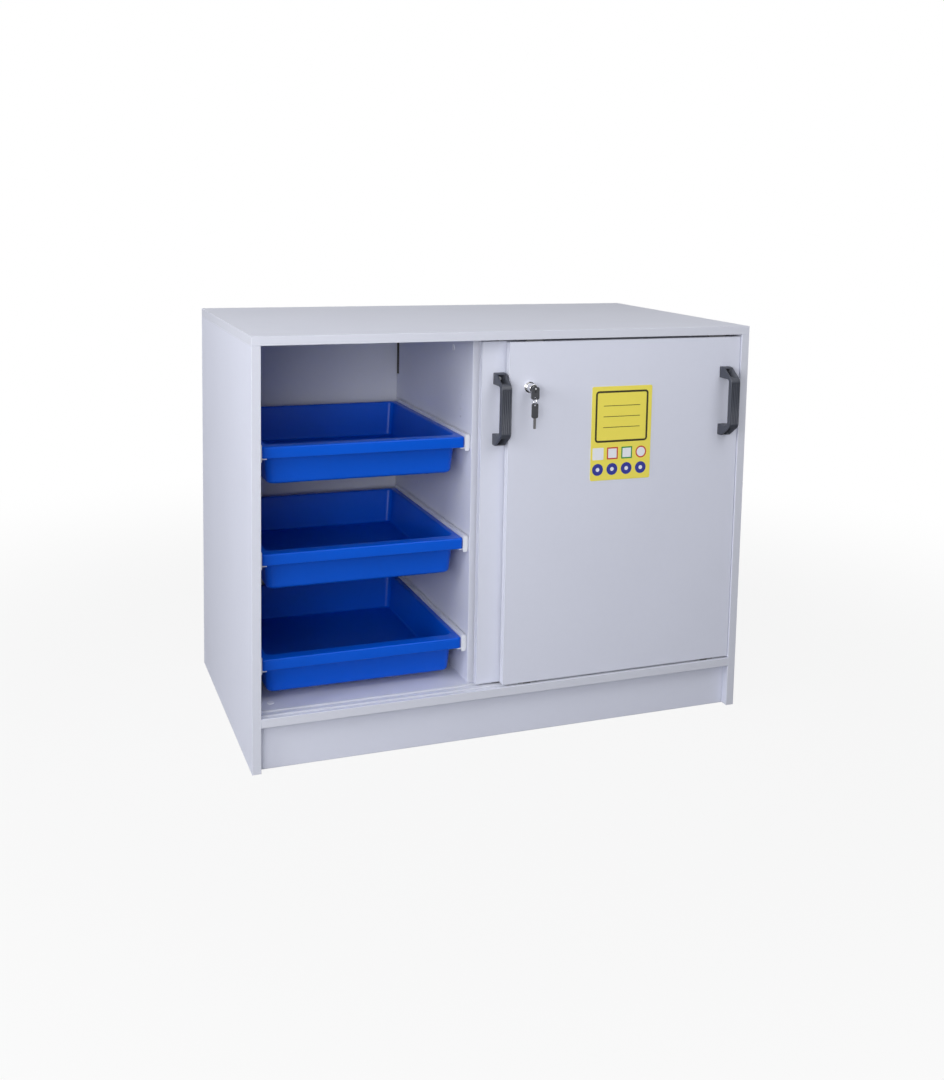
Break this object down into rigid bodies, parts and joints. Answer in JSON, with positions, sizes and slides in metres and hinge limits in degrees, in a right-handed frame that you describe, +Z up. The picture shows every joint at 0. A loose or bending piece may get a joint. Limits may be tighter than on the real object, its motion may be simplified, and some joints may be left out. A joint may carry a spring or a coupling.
{
  "type": "reagent drawer cabinet",
  "caption": "Low laboratory base cabinet with sliding doors, a push lock with keys, and pull-out plastic trays on roller runners.",
  "frame": {"origin": "bottom centre of the whole object's box, on the floor", "axes": "+X to the cabinet's right as seen from the front, +Y to its rear, +Z up"},
  "size_m": [1.14, 0.696, 0.9],
  "materials": {
    "board": "pale grey-white melamine faced board with lighter edge band",
    "tray": "deep blue moulded polypropylene, satin",
    "runner": "white epoxy-coated sheet steel",
    "roller": "dark nylon",
    "track": "pale grey extruded plastic",
    "insert": "black nylon",
    "cap": "white plastic cap",
    "handle": "black moulded plastic with fine ribs",
    "screw": "zinc-plated steel",
    "sign": "yellow plastic plate with a neutral printed design",
    "lock": "bright nickel-plated brass",
    "lock_core": "satin brass",
    "key_metal": "nickel-plated steel",
    "key_plastic": "black moulded plastic",
    "spare": "black plastic bow on a steel blade"
  },
  "bodies": {
    "cabinet": {"top_panel": "board", "left_side_panel": "board", "right_side_panel": "board", "base_panel": "board", "left_partition": "board", "right_partition": "board", "back_panel": "board", "kick_board": "board", "upper_door_track": "track", "lower_door_track": "track", "left_bay_runners": "runner", "right_bay_runners": "runner", "runner_screws": "screw", "connector_caps": "cap"},
    "left_door": {"left_door": "board", "left_door_handle": "handle", "left_handle_screws": "screw", "left_door_inserts": "insert", "striker_plate": "key_metal"},
    "right_door": {"right_door": "board", "right_door_handle": "handle", "right_handle_screws": "screw", "right_door_inserts": "insert", "sign_plate": "sign", "lock_housing": "lock"},
    "left_door_left_wheel": {"left_door_left_wheel": "roller"},
    "left_door_right_wheel": {"left_door_right_wheel": "roller"},
    "right_door_left_wheel": {"right_door_left_wheel": "roller"},
    "right_door_right_wheel": {"right_door_right_wheel": "roller"},
    "lock_cylinder": {"lock_cylinder": "lock"},
    "lock_plug": {"lock_plug": "lock_core", "key": "key_metal"},
    "key_bow": {"key_bow": "key_plastic"},
    "key_ring": {"key_ring": "lock"},
    "spare_key": {"spare_key": "spare"},
    "left_upper_tray": {"left_upper_tray": "tray", "left_upper_tray_runners": "runner"},
    "left_upper_tray_rollers": {"left_upper_tray_rollers": "roller"},
    "left_upper_front_rollers": {"left_upper_front_rollers": "roller"},
    "left_middle_tray": {"left_middle_tray": "tray", "left_middle_tray_runners": "runner"},
    "left_middle_tray_rollers": {"left_middle_tray_rollers": "roller"},
    "left_middle_front_rollers": {"left_middle_front_rollers": "roller"},
    "left_lower_tray": {"left_lower_tray": "tray", "left_lower_tray_runners": "runner"},
    "left_lower_tray_rollers": {"left_lower_tray_rollers": "roller"},
    "left_lower_front_rollers": {"left_lower_front_rollers": "roller"},
    "right_upper_tray": {"right_upper_tray": "tray", "right_upper_tray_runners": "runner"},
    "right_upper_tray_rollers": {"right_upper_tray_rollers": "roller"},
    "right_upper_front_rollers": {"right_upper_front_rollers": "roller"},
    "right_middle_tray": {"right_middle_tray": "tray", "right_middle_tray_runners": "runner"},
    "right_middle_tray_rollers": {"right_middle_tray_rollers": "roller"},
    "right_middle_front_rollers": {"right_middle_front_rollers": "roller"},
    "right_lower_tray": {"right_lower_tray": "tray", "right_lower_tray_runners": "runner"},
    "right_lower_tray_rollers": {"right_lower_tray_rollers": "roller"},
    "right_lower_front_rollers": {"right_lower_front_rollers": "roller"}
  },
  "joints": [
    {"name": "left_door_slide", "type": "slide", "parent": "cabinet", "child": "left_door", "axis": [1, 0, 0], "range_m": [-0.476, 0]},
    {"name": "right_door_slide", "type": "slide", "parent": "cabinet", "child": "right_door", "axis": [1, 0, 0], "range_m": [-0.0035, 0]},
    {"name": "left_door_left_wheel_turn", "type": "hinge", "parent": "left_door", "child": "left_door_left_wheel", "pos_m": [-0.014, -0.267, 0.1223], "axis": [0, 1, 0], "range_deg": [-2500, 0]},
    {"name": "left_door_right_wheel_turn", "type": "hinge", "parent": "left_door", "child": "left_door_right_wheel", "pos_m": [0.461, -0.267, 0.1223], "axis": [0, 1, 0], "range_deg": [-2500, 0]},
    {"name": "right_door_left_wheel_turn", "type": "hinge", "parent": "right_door", "child": "right_door_left_wheel", "pos_m": [0.04, -0.289, 0.1223], "axis": [0, 1, 0], "range_deg": [-20, 0]},
    {"name": "right_door_right_wheel_turn", "type": "hinge", "parent": "right_door", "child": "right_door_right_wheel", "pos_m": [0.49, -0.289, 0.1223], "axis": [0, 1, 0], "range_deg": [-20, 0]},
    {"name": "lock_push", "type": "slide", "parent": "right_door", "child": "lock_cylinder", "axis": [0, 1, 0], "range_m": [0, 0.008], "stiffness_N_per_m": 150, "springref_m": -0.01},
    {"name": "key_turn", "type": "hinge", "parent": "lock_cylinder", "child": "lock_plug", "pos_m": [0.027, -0.298, 0.778], "axis": [0, 1, 0], "range_deg": [0, 90]},
    {"name": "bow_fold", "type": "hinge", "parent": "lock_plug", "child": "key_bow", "pos_m": [0.027, -0.3295, 0.778], "axis": [-1, 0, 0], "range_deg": [0, 90]},
    {"name": "ring_swing", "type": "hinge", "parent": "key_bow", "child": "key_ring", "pos_m": [0.027, -0.3295, 0.7589], "axis": [0, 1, 0], "range_deg": [-90, 0]},
    {"name": "spare_key_swing", "type": "hinge", "parent": "key_ring", "child": "spare_key", "pos_m": [0.027, -0.3295, 0.7519], "axis": [-1, 0, 0], "range_deg": [-90, 0]},
    {"name": "left_upper_tray_slide", "type": "slide", "parent": "cabinet", "child": "left_upper_tray", "axis": [0, -1, 0], "range_m": [0, 0.375]},
    {"name": "left_upper_tray_rollers_turn", "type": "hinge", "parent": "left_upper_tray", "child": "left_upper_tray_rollers", "pos_m": [-0.3185, 0.24, 0.651], "axis": [1, 0, 0], "range_deg": [0, 2400]},
    {"name": "left_upper_front_rollers_turn", "type": "hinge", "parent": "cabinet", "child": "left_upper_front_rollers", "pos_m": [-0.3185, -0.2265, 0.6607], "axis": [1, 0, 0], "range_deg": [0, 2400]},
    {"name": "left_middle_tray_slide", "type": "slide", "parent": "cabinet", "child": "left_middle_tray", "axis": [0, -1, 0], "range_m": [0, 0.375]},
    {"name": "left_middle_tray_rollers_turn", "type": "hinge", "parent": "left_middle_tray", "child": "left_middle_tray_rollers", "pos_m": [-0.3185, 0.24, 0.427], "axis": [1, 0, 0], "range_deg": [0, 2400]},
    {"name": "left_middle_front_rollers_turn", "type": "hinge", "parent": "cabinet", "child": "left_middle_front_rollers", "pos_m": [-0.3185, -0.2265, 0.4367], "axis": [1, 0, 0], "range_deg": [0, 2400]},
    {"name": "left_lower_tray_slide", "type": "slide", "parent": "cabinet", "child": "left_lower_tray", "axis": [0, -1, 0], "range_m": [0, 0.375]},
    {"name": "left_lower_tray_rollers_turn", "type": "hinge", "parent": "left_lower_tray", "child": "left_lower_tray_rollers", "pos_m": [-0.3185, 0.24, 0.203], "axis": [1, 0, 0], "range_deg": [0, 2400]},
    {"name": "left_lower_front_rollers_turn", "type": "hinge", "parent": "cabinet", "child": "left_lower_front_rollers", "pos_m": [-0.3185, -0.2265, 0.2127], "axis": [1, 0, 0], "range_deg": [0, 2400]},
    {"name": "right_upper_tray_slide", "type": "slide", "parent": "cabinet", "child": "right_upper_tray", "axis": [0, -1, 0], "range_m": [0, 0.01]},
    {"name": "right_upper_tray_rollers_turn", "type": "hinge", "parent": "right_upper_tray", "child": "right_upper_tray_rollers", "pos_m": [0.3185, 0.24, 0.651], "axis": [1, 0, 0], "range_deg": [0, 70]},
    {"name": "right_upper_front_rollers_turn", "type": "hinge", "parent": "cabinet", "child": "right_upper_front_rollers", "pos_m": [0.3185, -0.2265, 0.6607], "axis": [1, 0, 0], "range_deg": [0, 70]},
    {"name": "right_middle_tray_slide", "type": "slide", "parent": "cabinet", "child": "right_middle_tray", "axis": [0, -1, 0], "range_m": [0, 0.01]},
    {"name": "right_middle_tray_rollers_turn", "type": "hinge", "parent": "right_middle_tray", "child": "right_middle_tray_rollers", "pos_m": [0.3185, 0.24, 0.427], "axis": [1, 0, 0], "range_deg": [0, 70]},
    {"name": "right_middle_front_rollers_turn", "type": "hinge", "parent": "cabinet", "child": "right_middle_front_rollers", "pos_m": [0.3185, -0.2265, 0.4367], "axis": [1, 0, 0], "range_deg": [0, 70]},
    {"name": "right_lower_tray_slide", "type": "slide", "parent": "cabinet", "child": "right_lower_tray", "axis": [0, -1, 0], "range_m": [0, 0.01]},
    {"name": "right_lower_tray_rollers_turn", "type": "hinge", "parent": "right_lower_tray", "child": "right_lower_tray_rollers", "pos_m": [0.3185, 0.24, 0.203], "axis": [1, 0, 0], "range_deg": [0, 70]},
    {"name": "right_lower_front_rollers_turn", "type": "hinge", "parent": "cabinet", "child": "right_lower_front_rollers", "pos_m": [0.3185, -0.2265, 0.2127], "axis": [1, 0, 0], "range_deg": [0, 70]}
  ],
  "couplings": [
    {"joint": "left_door_left_wheel_turn", "follows": "left_door_slide", "rad_per_m": 90.909},
    {"joint": "left_door_right_wheel_turn", "follows": "left_door_slide", "rad_per_m": 90.909},
    {"joint": "right_door_left_wheel_turn", "follows": "right_door_slide", "rad_per_m": 90.909},
    {"joint": "right_door_right_wheel_turn", "follows": "right_door_slide", "rad_per_m": 90.909},
    {"joint": "ring_swing", "follows": "key_turn", "ratio": -1},
    {"joint": "spare_key_swing", "follows": "bow_fold", "ratio": -1},
    {"joint": "left_upper_tray_rollers_turn", "follows": "left_upper_tray_slide", "rad_per_m": 111.11},
    {"joint": "left_upper_front_rollers_turn", "follows": "left_upper_tray_slide", "rad_per_m": 111.11},
    {"joint": "left_middle_tray_rollers_turn", "follows": "left_middle_tray_slide", "rad_per_m": 111.11},
    {"joint": "left_middle_front_rollers_turn", "follows": "left_middle_tray_slide", "rad_per_m": 111.11},
    {"joint": "left_lower_tray_rollers_turn", "follows": "left_lower_tray_slide", "rad_per_m": 111.11},
    {"joint": "left_lower_front_rollers_turn", "follows": "left_lower_tray_slide", "rad_per_m": 111.11},
    {"joint": "right_upper_tray_rollers_turn", "follows": "right_upper_tray_slide", "rad_per_m": 111.11},
    {"joint": "right_upper_front_rollers_turn", "follows": "right_upper_tray_slide", "rad_per_m": 111.11},
    {"joint": "right_middle_tray_rollers_turn", "follows": "right_middle_tray_slide", "rad_per_m": 111.11},
    {"joint": "right_middle_front_rollers_turn", "follows": "right_middle_tray_slide", "rad_per_m": 111.11},
    {"joint": "right_lower_tray_rollers_turn", "follows": "right_lower_tray_slide", "rad_per_m": 111.11},
    {"joint": "right_lower_front_rollers_turn", "follows": "right_lower_tray_slide", "rad_per_m": 111.11}
  ]
}
